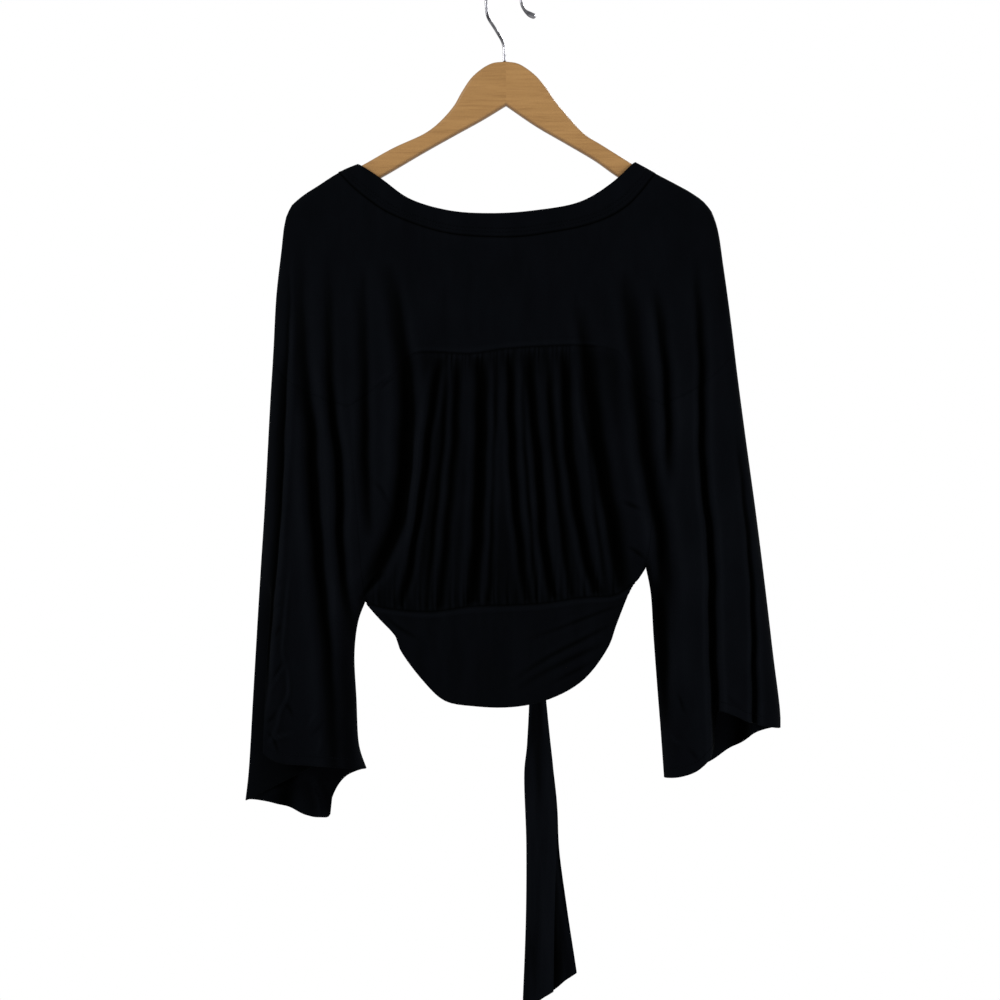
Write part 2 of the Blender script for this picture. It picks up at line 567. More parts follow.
def seam_sink(seams, a, b):
    total = np.zeros(a.shape)
    for line, deep in seams:
        total = np.maximum(total, deep * np.exp(-((nearest(line, a, b)[0] / SEAM_WIDE) ** 2)))
    return total


quiet_seams = [left_shoulder_seam, right_shoulder_seam, np.array(LEFT_SIDE_SEAM, float),
               np.array(RIGHT_SIDE_SEAM, float)]
gathered_seam = yoke_seam[(yoke_seam[:, 0] > GATHERED_YOKE[0]) & (yoke_seam[:, 0] < GATHERED_YOKE[1])]
front_seams = [(line, QUIET_SINK) for line in quiet_seams]
back_seams = front_seams + [(neck_seam, NECK_SINK), (yoke_seam, QUIET_SINK), (gathered_seam, YOKE_SINK),
                            (waist_seam, WAIST_SINK)]


def rolled(away):
    return np.exp(-(((away + ROLL["off"]) / ROLL["wide"]) ** 2))


def folded_height(side, a, b, gathers=None):
    """Height in mm of the cloth's middle surface off the mid plane, before it turns over at the edges."""
    full = np.interp(b, *np.transpose(BACK_DEPTH if side == BACK else FRONT_DEPTH))
    folds = troughs(BACK_FOLDS if side == BACK else FRONT_FOLDS, a, b)
    above_waist = down_at(waist_seam, a) - b
    if side == BACK:
        below_yoke = b - down_at(yoke_seam, a)
        on_body = ease(below_yoke / BODY_FOLD["grows"])
        on_body *= ease(above_waist / BODY_FOLD["fades"] + BODY_FOLD["early"])
        folds += on_body * troughs(BODY_FOLDS, a, b)
        between = (below_yoke > 0) & (above_waist > 0) & (a > YOKE_SEAM[0][0]) & (a < YOKE_SEAM[-1][0])
        folds += between * ripple(YOKE_GATHERS, a, below_yoke)
        folds += between * ripple(WAIST_GATHERS, a, above_waist)
        # The yoke's lower edge and the waistband's upper one roll a little proud of their seams
        proud = within(a, *YOKE_ROLL) * rolled(below_yoke)
        proud += ROLL["waist_share"] * within(a, *WAIST_ROLL) * rolled(above_waist)
        folds -= ROLL["high"] * proud
        folds += creases(BACK_CREASES + CUFF_CREASES, a, b)
        folds += seam_sink(back_seams, a, b)
    else:
        if gathers:
            folds += (above_waist > 0) * ripple(gathers, a, above_waist)
        folds += creases(FAR_CREASES, a, b)
        folds += seam_sink(front_seams, a, b)
    folds += unevenness(a, b, UNEVEN_SEEDS[side])
    room = full - LEAST_DEPTH
    return full - np.where(folds > 0, room * np.tanh(folds / room * SOFT_LIMIT), folds)


def blurred(field, reach):
    """A field of heights smoothed over so many grid steps."""
    pad = int(3 * reach)
    padded = np.pad(field, pad, mode="edge")
    down, across = np.fft.fftfreq(padded.shape[0])[:, None], np.fft.rfftfreq(padded.shape[1])
    passed = np.exp(-2 * (math.pi * reach) ** 2 * (down**2 + across**2))
    return np.fft.irfft2(np.fft.rfft2(padded) * passed, padded.shape)[pad:-pad, pad:-pad]


FIELD_ACROSS = np.arange(225, 806)
FIELD_DOWN = np.arange(150, 836)


def hollow_field(side):
    """How far each place lies below the cloth round it."""
    a, b = np.meshgrid(FIELD_ACROSS.astype(float), FIELD_DOWN.astype(float))
    height = folded_height(side, a, b)
    if side == FRONT:
        on_left = a < MIDDLE_ACROSS
        for gathers, part in ((LEFT_FRONT_GATHERS, on_left), (RIGHT_FRONT_GATHERS, ~on_left)):
            height[part] = folded_height(side, a[part], b[part], gathers)
    return sum((blurred(height, reach) - height) / high for reach, high in HOLLOWS)


def looked_up(field, a, b):
    u = np.clip(a - FIELD_ACROSS[0], 0, len(FIELD_ACROSS) - 1.001)
    v = np.clip(b - FIELD_DOWN[0], 0, len(FIELD_DOWN) - 1.001)
    i, j = u.astype(int), v.astype(int)
    upper = mix(field[j, i], field[j, i + 1], u - i)
    return mix(upper, mix(field[j + 1, i], field[j + 1, i + 1], u - i), v - j)


def stands_off(side, a, b, gathers=None):
    """Height in mm of the cloth's middle surface off the garment's mid plane."""
    return roundness(a, b) * folded_height(side, a, b, gathers)


hollows = {side: hollow_field(side) for side in (BACK, FRONT)}


def on_cloth(side, a, b, lift=0.0, gathers=None):
    """Points on the cloth at places of the drawing, as (x, y, z, hollow)."""
    a, b = np.broadcast_arrays(np.asarray(a, float), np.asarray(b, float))
    y = side * (stands_off(side, a, b, gathers) * MM + lift)
    return np.stack([x_of(a), y, z_of(b), looked_up(hollows[side], a, b)], axis=-1)


# Meshes


def welded(grids):
    """Points and faces of grids of points, joined where they touch. A grid may be turned over."""
    points, faces, start = [], [], 0
    for grid, turned in grids:
        rows, columns = grid.shape[:2]
        ids = start + np.arange(rows * columns).reshape(rows, columns)
        quads = np.stack([ids[:-1, :-1], ids[:-1, 1:], ids[1:, 1:], ids[1:, :-1]], axis=-1).reshape(-1, 4)
        faces.append(quads[:, ::-1] if turned else quads)
        points.append(grid.reshape(-1, grid.shape[2]))
        start += rows * columns
    points, faces = np.vstack(points), np.vstack(faces)
    keys = np.round(points[:, :3] * WELD_STEPS).astype(np.int64)
    _, first, same = np.unique(keys, axis=0, return_index=True, return_inverse=True)
    return points[first], same.reshape(-1)[faces]


def smooth_normals(points, faces):
    corners = points[faces]
    across = np.cross(corners[:, 2] - corners[:, 0], corners[:, 3] - corners[:, 1])
    normals = np.zeros(points.shape)
    for column in faces.T:
        np.add.at(normals, column, across)
    return unit(normals)


def placed(name, data):
    """An object that is linked into the scene."""
    made = bpy.data.objects.new(name, data)
    bpy.context.scene.collection.objects.link(made)
    return made


def make_mesh(name, points, faces, material, node=None, hollow=None):
    mesh = bpy.data.meshes.new(name)
    mesh.from_pydata(points.tolist(), [], faces)
    if hollow is not None:
        stored = mesh.attributes.new("hollow", "FLOAT", "POINT")
        stored.data.foreach_set("value", hollow.astype(np.float32))
    mesh.validate()
    mesh.polygons.foreach_set("use_smooth", [True] * len(mesh.polygons))
    mesh.materials.append(material)
    piece = placed(name, mesh)
    if node:
        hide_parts(node)
    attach(piece, "root")
    return piece


def real_faces(faces):
    """Faces as lists without doubled corners, where three or more are left."""
    lists = ([v for i, v in enumerate(face) if v != face[i - 1]] for face in faces.tolist())
    return [face for face in lists if len(face) > 2]


# How far the rounded rim of a wall stands out, as a share of its thickness
RIM = 0.35


def wall(name, grids, thickness, material, node):
    """A closed wall of cloth about a sheet, with a rounded rim."""
    points, faces = welded(grids)
    points, hollow = points[:, :3], points[:, 3]
    normals = smooth_normals(points, faces)
    count = len(points)
    starts = faces.reshape(-1)
    ends = np.roll(faces, -1, axis=1).reshape(-1)
    real = starts != ends
    starts, ends = starts[real], ends[real]
    open_edge = ~np.isin(starts * count + ends, ends * count + starts)
    starts, ends = starts[open_edge], ends[open_edge]
    along = points[ends] - points[starts]
    outward = np.zeros(points.shape)
    for ids in (starts, ends):
        np.add.at(outward, ids, np.cross(along, normals[ids]))
    rim = np.unique(np.concatenate([starts, ends]))
    outward = unit(outward[rim])
    number = np.full(count, -1)
    number[rim] = np.arange(len(rim)) + 2 * count
    half = normals * thickness / 2
    solid = np.vstack([points + half, points - half, points[rim] + outward * thickness * RIM])
    polygons = []
    for face in real_faces(faces):
        polygons += [face, [v + count for v in reversed(face)]]
    for start, end in zip(starts.tolist(), ends.tolist()):
        mid_start, mid_end = int(number[start]), int(number[end])
        polygons.append([end, start, mid_start, mid_end])
        polygons.append([mid_end, mid_start, start + count, end + count])
    return make_mesh(name, solid, polygons, material, node,
                     hollow=np.concatenate([hollow, hollow, hollow[rim]]))


def shares(count, crowd=0.0):
    """Shares from 0 to 1, closer together at both ends."""
    even = np.linspace(0, 1, count + 1)
    return mix(even, 0.5 - 0.5 * np.cos(math.pi * even), crowd)


def from_edge(count, power=1.7):
    return np.linspace(0, 1, count + 1) ** power


def to_edge(count, power=1.7):
    return 1 - from_edge(count, power)[::-1]


def stretch(line, start=0.0, end=1.0):
    line = np.asarray(line, float)
    return lambda share: point_at(line, mix(start, end, share))


def by_down(line, start, end):
    return lambda share: (across_at(line, mix(start, end, share)), mix(start, end, share))


def by_across(line, start, end):
    return lambda share: (mix(start, end, share), down_at(line, mix(start, end, share)))


def share_at(line, down):
    return float(np.interp(down, line[:, 1], np.linspace(0, 1, len(line))))


def share_across(line, across):
    return float(np.interp(across, line[:, 0], np.linspace(0, 1, len(line))))


def panel(node, side, sections, rows, thickness=CLOTH, lift=0.0, under=None, gathers=None, channels=(),
          shade=None):
    """A panel in sections. Each has ribs that run from its upper line to its lower one."""
    places = []
    for number, (upper, lower, ribs) in enumerate(sections):
        ribs = ribs[1:] if number else ribs
        tops, feet = np.array(upper(ribs)), np.array(lower(ribs))
        places.append(mix(tops[..., None], feet[..., None], rows))
    a, b = np.concatenate(places, axis=1)
    points = on_cloth(side, a, b, lift, gathers)
    if shade:
        points[..., 3] += shade(a, b)
    if under:
        points[..., 1] -= side * under(a, b) * MM
    for place, wide, deep, dark in channels:
        sunk = np.exp(-(((rows - place) / wide) ** 2))
        points[..., 1] -= side * deep * MM * sunk
        points[..., 3] += dark * sunk
    return wall(node + "_cloth", [(points, side == FRONT)], thickness, jersey, node)


# Materials


class Graph:
    """The nodes of one material, with short ways to add and join them."""

    def __init__(self, name):
        self.material = bpy.data.materials.new(name)
        self.material.use_nodes = True
        self.tree = self.material.node_tree

    def feed(self, node, inputs):
        """Give inputs their values, or link the sockets that feed them."""
        for name, value in inputs.items():
            if isinstance(value, bpy.types.NodeSocket):
                self.tree.links.new(value, node.inputs[name])
            else:
                node.inputs[name].default_value = value

    def add(self, kind, output, inputs, **settings):
        """Add a node, and return one of its outputs."""
        node = self.tree.nodes.new("ShaderNode" + kind)
        for name, value in settings.items():
            setattr(node, name, value)
        self.feed(node, inputs)
        return node.outputs[output]

    def noise(self, scale, stretch_by, detail, rough=0.5, lean=0.0):
        place = self.add("TexCoord", "Object", {})
        laid = {"Vector": place, "Scale": stretch_by, "Rotation": (0, lean, 0)}
        grain = {"Scale": scale, "Detail": detail, "Roughness": rough}
        return self.add("TexNoise", "Fac", {"Vector": self.add("Mapping", "Vector", laid), **grain})

    def ramp(self, source, stops):
        colour = self.add("ValToRGB", "Color", {"Fac": source})
        elements = colour.node.color_ramp.elements
        while len(elements) < len(stops):
            elements.new(0.5)
        for element, (place, tone) in zip(elements, stops):
            element.position = place
            element.color = (*tone, 1)
        return colour

    def ranged(self, source, low, high, start=0.0, end=1.0):
        limits = {"From Min": start, "From Max": end, "To Min": low, "To Max": high}
        return self.add("MapRange", "Result", {"Value": source, **limits})

    def multiplied(self, first, second):
        both = {"Factor": 1.0, "A": first, "B": second}
        return self.add("Mix", "Result", both, data_type="RGBA", blend_type="MULTIPLY")

    def bump(self, height, strength, distance, **under):
        size = {"Strength": strength, "Distance": distance}
        return self.add("Bump", "Normal", {"Height": height, **size, **under})

    def finished(self, inputs):
        self.feed(self.tree.nodes["Principled BSDF"], inputs)
        return self.material


# Share of the cloth's colour that shows, from a ridge (0) over flat cloth (0.5) to the deepest fold (1)
FOLD_TONES = [
    (0.15, (1, 1, 1)), (0.5, (0.62, 0.62, 0.62)), (0.72, (0.26, 0.28, 0.26)), (0.95, (0.02, 0.03, 0.02)),
]


def jersey_material(name, dark, light):
    """Soft knitted cloth: fine upright wales, a little fuzz, faint mottling, and deeper black in folds."""
    graph = Graph(name)
    mottle = graph.noise(26, (1, 1, 0.6), 4)
    hollow = graph.add("Attribute", "Fac", {}, attribute_name="hollow")
    tones = graph.ramp(graph.ranged(hollow, 0, 1, start=-1), FOLD_TONES)
    soft = graph.bump(graph.noise(170, (1, 1, 0.5), 3), 0.35, 0.0009)
    return graph.finished({
        "Base Color": graph.multiplied(graph.ramp(mottle, [(0.3, dark), (0.7, light)]), tones),
        "Roughness": graph.ranged(mottle, 0.78, 0.95),
        "Normal": graph.bump(graph.noise(1100, (1, 1, 0.3), 2), 0.5, 0.0003, Normal=soft),
        "Specular IOR Level": 0.004,
        "Sheen Weight": 0.002,
        "Sheen Roughness": 0.45,
        "Sheen Tint": (0.75, 0.87, 1.0, 1),
    })


def wood_material(name, lean):
    """Clear-coated pale hardwood with grain along the board."""
    graph = Graph(name)
    grain = graph.noise(34, (0.35, 3, 5), 5, 0.6, lean)
    fibre = graph.noise(260, (0.12, 1, 2.2), 3, lean=lean)
    colour = graph.ramp(grain, [
        (0.25, (0.134, 0.069, 0.0205)), (0.5, (0.153, 0.080, 0.0240)), (0.75, (0.172, 0.092, 0.0290))])
    pores = graph.ramp(fibre, [(0.34, (0.88, 0.85, 0.81)), (0.50, (1, 1, 1))])
    # The coat has darkened along the rounded lower edges
    facing = graph.add("NewGeometry", "Normal", {})
    upward = graph.add("SeparateXYZ", "Z", {"Vector": facing})
    under = graph.ranged(upward, 0, 1, -0.15, -0.85)
    coat = graph.ramp(under, [(0.0, (1, 1, 1)), (1.0, (0.55, 0.50, 0.42))])
    return graph.finished({
        "Base Color": graph.multiplied(graph.multiplied(colour, pores), coat),
        "Roughness": graph.ranged(grain, 0.36, 0.52),
        "Normal": graph.bump(fibre, 0.12, 0.0004),
        "Specular IOR Level": 0.24,
    })


def chrome_material(name):
    """Bright plated wire with faint drawing marks and smudges."""
    graph = Graph(name)
    smudge = graph.noise(120, (1, 1, 1), 4)
    return graph.finished({
        "Base Color": graph.ramp(smudge, [(0.35, (0.05, 0.05, 0.055)), (0.65, (0.15, 0.15, 0.16))]),
        "Roughness": graph.ranged(smudge, 0.10, 0.26),
        "Metallic": 1.0,
    })


jersey = jersey_material("black_jersey", (0.00115, 0.0014, 0.00195), (0.0015, 0.0018, 0.0025))
thread = jersey_material("black_thread", (0.0015, 0.0017, 0.0025), (0.0019, 0.0022, 0.0031))
chrome = chrome_material("plated_wire")


# The cloth


def shoulder(outer, start, end):
    return stretch(outer, share_at(outer, start), share_at(outer, end))


left_shoulder = shoulder(left_outer, *LEFT_SHOULDER)
right_shoulder = shoulder(right_outer, *RIGHT_SHOULDER)
right_seam_outwards = right_shoulder_seam[::-1]
GATHER_START = share_across(yoke_seam, YOKE_GATHERS["from"])
GATHER_END = share_across(yoke_seam, YOKE_GATHERS["to"])
# Shares of the neck seam over the ends of the yoke's gathered stretch
NECK_START = 0.28
NECK_END = 0.74


def under_layer(a, b):
    """The left front draws back where it passes under the right one, in mm."""
    overlap = ease((a - across_at(right_wrap_edge, b)) / UNDER_LAYER["near"] + 1)
    return UNDER_LAYER["deep"] * overlap * ease((b - UNDER_LAYER["below"]) / UNDER_LAYER["grows"])


def yoke():
    gathered = stretch(yoke_seam, GATHER_START, GATHER_END)
    return panel("back_yoke", BACK, [
        (left_shoulder, stretch(left_shoulder_seam), from_edge(46)),
        (stretch(neck_seam, 0, NECK_START), stretch(yoke_seam, 0, GATHER_START), shares(56)),
        (stretch(neck_seam, NECK_START, NECK_END), gathered, shares(70)),
        (stretch(neck_seam, NECK_END, 1), stretch(yoke_seam, GATHER_END, 1), shares(50)),
        (right_shoulder, stretch(right_seam_outwards), to_edge(46)),
    ], from_edge(70, 1.5))


def body_shade(a, b):
    """The gathered middle of the body lies darker than the drapes beside it."""
    fan = ease((b - BODY_DARK["below"]) / BODY_DARK["grows"])
    left, right = BODY_DARK["spreads"]
    inside = within(a, BODY_DARK["from"] - left * fan, BODY_DARK["to"] + right * fan, *BODY_DARK["ends"])
    wide, early = BODY_DARK["seam"]
    return BODY_SHADE * inside * ease((b - down_at(yoke_seam, a)) / wide + early)


def back_body():
    waist = [WAIST_ENDS[0], WAIST_GATHERS["from"], WAIST_GATHERS["to"], WAIST_ENDS[1]]
    return panel("back_body", BACK, [
        (stretch(yoke_seam, 0, GATHER_START), by_across(waist_seam, *waist[:2]), shares(60)),
        (stretch(yoke_seam, GATHER_START, GATHER_END), by_across(waist_seam, *waist[1:3]), shares(190)),
        (stretch(yoke_seam, GATHER_END, 1), by_across(waist_seam, *waist[2:]), shares(60)),
    ], shares(120, 0.4), shade=body_shade)


def fronts():
    foot, across = LEFT_WRAP_FOOT
    waist = by_across(waist_seam, WAIST_ENDS[0], across)
    left = panel("front_left", FRONT, [
        (left_shoulder, stretch(left_shoulder_seam), from_edge(30)),
        (by_down(left_wrap_seam, LEFT_SHOULDER[1], WRAP_TURN), stretch(LEFT_SIDE_SEAM), from_edge(34)),
        (by_down(left_wrap_seam, WRAP_TURN, foot), waist, shares(84)),
    ], from_edge(70, 1.3), under=under_layer, gathers=LEFT_FRONT_GATHERS)
    foot, across = RIGHT_WRAP_FOOT
    waist, side_seam = by_across(waist_seam, across, WAIST_ENDS[1]), stretch(RIGHT_SIDE_SEAM[::-1])
    right = panel("front_right", FRONT, [
        (by_down(right_wrap_seam, foot, WRAP_TURN), waist, shares(78)),
        (by_down(right_wrap_seam, WRAP_TURN, RIGHT_SHOULDER[0]), side_seam, to_edge(34)),
        (right_shoulder, stretch(right_seam_outwards), to_edge(30)),
    ], from_edge(70, 1.3), gathers=RIGHT_FRONT_GATHERS)
    return left, right


def doubled(node, side, edge, seam, span, ribs, rows, **more):
    """A doubled band between two lines, over this span of them."""
    section = (stretch(edge, *span), stretch(seam, *span), ribs)
    return panel(node, side, [section], shares(rows), BAND_CLOTH, (BAND_CLOTH - CLOTH) / 2, **more)


def bands():
    """The bands round the neckline and the waist, by node."""
    def waist_stretch(start, end):
        return [place.tolist() for place in waist_seam if start < place[0] < end]

    neck = {"rows": 34, "channels": NECK_CHANNELS}
    left_waist = drawn(waist_stretch(*LEFT_BAND_SEAM) + TIE_MOUTH)
    right_waist = drawn(TIE_MOUTH_RIGHT + waist_stretch(*RIGHT_BAND_SEAM))
    made = [
        doubled("neckband_back", BACK, neck_edge, neck_seam, (0, 1), shares(150, 0.8), **neck),
        doubled("neckband_left", FRONT, left_wrap_edge, left_wrap_seam, (0, 0.995), from_edge(110, 1.3),
                under=under_layer, **neck),
        doubled("neckband_right", FRONT, right_wrap_edge[::-1], right_wrap_seam[::-1], (0.005, 1),
                to_edge(110, 1.3), **neck),
        doubled("waistband_back", BACK, waist_seam, band_edge, (0.01, 0.99), shares(150, 0.5), 44,
                shade=lambda a, b: BAND_SHADE),
        doubled("waistband_left", FRONT, left_waist, drawn(LEFT_BAND_EDGE), (0.02, 1), shares(70), 26),
        doubled("waistband_right", FRONT, right_waist, drawn(RIGHT_BAND_EDGE), (0, 0.97), shares(50), 26),
    ]
    return {piece.name.removesuffix("_cloth"): piece for piece in made}


# Rows of a sleeve, and the share of them above the underarm
SLEEVE_ROWS = 131
UNDERARM_ROW = 0.4
# Shares of a sleeve's width where its outer strip ends and its inner one starts
OUTER_STRIP = 0.08
INNER_STRIP = 0.95
# Ribs meet a line that slopes after so many steps, each of this share of the way
SETTLE_STEPS = 60
SETTLE_SHARE = 0.35


def sleeve(node, outer, inner, side_seam, shoulder_seam, back_hem, front_hem, shade, tuck=None):
    """A tube round the arm, from its shoulder seam to the hem, open at the cuff."""
    way = np.sign(inner[0][0] - outer[len(outer) // 3][0])
    inner_line = np.vstack([side_seam[0], inner])
    seam = shoulder_seam if way > 0 else shoulder_seam[::-1]

    def across_of(share, b):
        return mix(across_at(outer, b), across_at(inner_line, b), share)

    def settle(line, share):
        """How far down the ribs at these shares meet a line."""
        line = line.copy()
        line[:, 0] = np.maximum.accumulate(line[:, 0])
        b = down_at(line, across_of(share, line[0][1] + 0 * share))
        for _ in range(SETTLE_STEPS):
            b = mix(b, down_at(line, across_of(share, b)), SETTLE_SHARE)
        return b

    def surface(side, share, b):
        points = on_cloth(side, across_of(share, b), b)
        if side == BACK and tuck:
            t = np.clip(share / tuck["share"], 0, 1)
            over = ease((b - tuck["from"]) / (tuck["to"] - tuck["from"]))
            points[..., 0] += tuck["reach"] * GRID * over * np.sin(math.pi * t) ** 2
            lip = on_cloth(side, across_of(tuck["share"] + 0 * share, b), b)[..., 1]
            turned = np.where(t < 1, ease((b - tuck["from"]) / tuck["turns_over"]), 0)
            points[..., 3] += tuck["dark"] * turned * np.sin(math.pi * t)
            points[..., 1] = mix(points[..., 1], lip * t ** tuck["rounds"], turned)
        points[..., 3] += shade
        return points

    grids, hem_lines = [], {}
    rows = np.linspace(0, 1, SLEEVE_ROWS)
    for side, hem_line in ((BACK, drawn(back_hem, count=90)), (FRONT, drawn(front_hem, count=90))):
        tucked = side == BACK and tuck
        if tucked:
            strip, outer_ribs, ribs = tuck["share"], shares(34), 82
        else:
            strip, outer_ribs, ribs = OUTER_STRIP, from_edge(12), 84 if side == BACK else 58
        stations = np.concatenate([outer_ribs * strip, mix(strip, INNER_STRIP, shares(ribs))[1:],
                                   mix(INNER_STRIP, 1, to_edge(10))[1:]])
        top, hem = settle(seam, stations), settle(hem_line, stations)
        if tucked:
            t = stations / strip
            inside = np.where(t < 0.5, mix(tuck["corner"], tuck["turn"], ease(2 * t)),
                              mix(tuck["turn"], tuck["lip"], ease(2 * t - 1)))
            hem = np.where(stations < strip, inside, hem)
        notch = inner[0][1]
        share, top, hem = stations[:, None], top[:, None], hem[:, None]
        above = mix(top, notch, rows / UNDERARM_ROW)
        below = mix(notch, hem, (rows - UNDERARM_ROW) / (1 - UNDERARM_ROW))
        split = np.where(rows <= UNDERARM_ROW, above, below)
        b = mix(mix(top, hem, rows), split, ease((share - 0.5) / 0.5))
        grids.append((surface(side, share + 0 * b, b), (side == FRONT) == (way > 0)))
        hem_lines[side] = (stations, hem[:, 0], surface)
    return wall(node + "_cloth", grids, CLOTH, jersey, node), hem_lines


def knot_place():
    """The middle of the knot, which rests on the band behind it."""
    x, y, z, _ = on_cloth(FRONT, [KNOT["across"]], [KNOT["down"]])[0]
    return np.array([x, y + BAND_CLOTH - CLOTH / 2 + KNOT["seat"] * MM, z])


def knot():
    """An overhand knot: one end wraps round the other, so bands of cloth cross it."""
    half = np.array(KNOT["half"]) * MM
    round_knot, up_knot = np.linspace(0, 2 * math.pi, 121), np.linspace(-math.pi / 2, math.pi / 2, 81)
    turn, lift = np.meshgrid(round_knot, up_knot, indexing="ij")
    x, y, z = np.cos(lift) * np.sin(turn), np.cos(lift) * np.cos(turn), np.sin(lift)
    swell = np.full(x.shape, KNOT["core"])
    pleat_high, pleat_close, pleat_lean = KNOT_PLEATS
    for lean, offset, wide, high in KNOT_WRAPS:
        angle = math.radians(lean)
        off = (z * math.cos(angle) - x * math.sin(angle) - offset) / wide
        pleats = 1 - pleat_high * np.cos(pleat_close * off + pleat_lean * x)
        swell = np.maximum(swell, KNOT["core"] + high * np.sqrt(np.clip(1 - off**2, 0, 1)) * pleats)
    points = knot_place() + np.stack([x, y, z], axis=-1) * swell[..., None] * half
    points, faces = welded([(points, True)])
    return make_mesh("tie_knot_cloth", points, real_faces(faces), jersey, "tie_knot",
                     hollow=np.zeros(len(points)))


def tail(node, shape, seed):
    """A narrow strip that hangs from the knot, softly folded along its length."""
    place = knot_place()
    left, right = drawn(shape["left"]), drawn(shape["right"])
    u, v = np.meshgrid(shares(22), shares(150), indexing="ij")
    top = KNOT["down"] + TAIL_START * KNOT["half"][2] * MM / GRID
    b = mix(top, mix(left[-1, 1], right[-1, 1], u), v)
    a = mix(across_at(left, b), across_at(right, b), u)
    wave = shape["fold"] * np.sin(2 * math.pi * (TAIL_FOLD[0] * u + TAIL_FOLD[1] * v))
    small = TAIL_WAVE["across"] * u + TAIL_WAVE["down"] * v + TAIL_WAVE["start"]
    wave += TAIL_WAVE["high"] * np.sin(2 * math.pi * small)
    crumple = unevenness(TAIL_CRUMPLE["across"] * a, TAIL_CRUMPLE["down"] * b, seed) * TAIL_CRUMPLE["high"]
    swing = ease(v * TAIL_MOUTH["settles"]) * (shape["swings"] + wave + crumple)
    y = place[1] + MM * (shape["behind"] + swing)
    squeeze = mix(TAIL_MOUTH["narrow"], 1, ease(v * TAIL_MOUTH["opens"]))
    squeeze = np.maximum(squeeze, ease(v * TAIL_MOUTH["whole"]))
    a = mix(mix(left[0, 0], right[0, 0], 0.5), a, squeeze)
    hollow = mix(*shape["shade"], ease(u)) - TAIL_WAVE["tone"] * wave - TAIL_CRUMPLE["tone"] * crumple
    points = np.stack([x_of(a), y, z_of(b), hollow], axis=-1)
    return wall(node + "_cloth", [(points, True)], CLOTH, jersey, node)


# Corners of one stitch: shares of its length, then of its half width to the side and outwards
STITCH = np.array([
    (0, -1, 0), (0, 0, 0.9), (0, 1, 0), (0.5, -1.1, 0.15), (0.5, 0, 1.5), (0.5, 1.1, 0.15),
    (1, -1, 0), (1, 0, 0.9), (1, 1, 0),
])
STITCH_SIDES = [(first + i, first + (i + 1) % 3) for first in (0, 3) for i in range(3)]
STITCH_FACES = [[i, j, j + 3, i + 3] for i, j in STITCH_SIDES] + [[0, 2, 1], [6, 7, 8]]


def stitches(name, points, away, parent, length=0.0022, gap=0.0010, wide=0.00042):
    """A row of small stitches that follow a line of points on the cloth."""
    run = run_along(points)
    starts = np.arange(gap, run[-1] - length, length + gap)
    foot = interpolated(points, run, starts)[:, None]
    tip = interpolated(points, run, starts + length)[:, None]
    normal = interpolated(away, run, starts)[:, None]
    side = unit(np.cross(tip - foot, normal))
    along, across, out = (STITCH[:, column, None] for column in range(3))
    corners = mix(foot, tip, along) + (side * across + normal * out) * wide
    firsts = range(0, len(starts) * len(STITCH), len(STITCH))
    polygons = [[first + corner for corner in face] for first in firsts for face in STITCH_FACES]
    piece = make_mesh(name, corners.reshape(-1, 3), polygons, thread)
    world = piece.matrix_world.copy()
    piece.parent = parent
    piece.matrix_world = world
    return piece


def surface_row(side, a, b, lift, under=None, step=0.4):
    """Points on the outer face of the cloth along a line of places, and the way out there."""
    middle = on_cloth(side, a, b)[:, :3]
    across = on_cloth(side, a + step, b) - on_cloth(side, a - step, b)
    down = on_cloth(side, a, b + step) - on_cloth(side, a, b - step)
    out = unit(np.cross(across[:, :3], down[:, :3]) * side)
    if under:
        middle[:, 1] -= side * under(a, b) * MM
    return middle + out * lift, out


def band_stitches(name, side, edge, seam, parent, span=(0.02, 0.98), under=None):
    """Two rows along a neckband, sunk a little in their channels."""
    lift = BAND_CLOTH - CLOTH / 2 - 0.8 * ROW_CHANNEL[1] * MM
    share = np.linspace(*span, 240)
    (edge_a, edge_b), (seam_a, seam_b) = point_at(edge, share), point_at(seam, share)
    made = []
    for number, row in enumerate(BAND_ROWS):
        points, out = surface_row(side, mix(edge_a, seam_a, row), mix(edge_b, seam_b, row), lift, under)
        made.append(stitches(f"{name}_{number + 1}", points, out, parent))
    return made


def hem_stitches(name, hem_lines, parent, span=(0.15, 0.97), above=9, step=0.5):
    """One row all round a cuff, a little above the hem."""
    made = []
    for side, word in ((BACK, "back"), (FRONT, "front")):
        stations, hem, surface = hem_lines[side]
        share = np.linspace(*span, 160)
        b = np.interp(share, stations, hem) - above
        points = surface(side, share, b)[:, :3]
        up = (surface(side, share, b - step) - surface(side, share, b + step))[:, :3]
        out = unit(np.cross(np.gradient(points, axis=0), up))
        out *= np.sign(out[:, 1:2]) * side
        made.append(stitches(f"{name}_{word}", points + out * CLOTH / 2, out, parent))
    return made


yoke_cloth = yoke()
body_cloth = back_body()
front_left, front_right = fronts()
band_pieces = bands()
sleeve_left, left_hem = sleeve(
    "sleeve_left", left_outer, left_inner, LEFT_SIDE_SEAM, left_shoulder_seam, LEFT_BACK_HEM,
    LEFT_FRONT_HEM, LEFT_SLEEVE_SHADE, TUCK)
sleeve_right, right_hem = sleeve(
    "sleeve_right", right_outer, right_inner, RIGHT_SIDE_SEAM, right_shoulder_seam, RIGHT_BACK_HEM,
    RIGHT_FRONT_HEM, RIGHT_SLEEVE_SHADE)
knot_cloth = knot()
tail_left = tail("tie_tail_left", NEAR_TAIL, 31)
tail_right = tail("tie_tail_right", FAR_TAIL, 37)

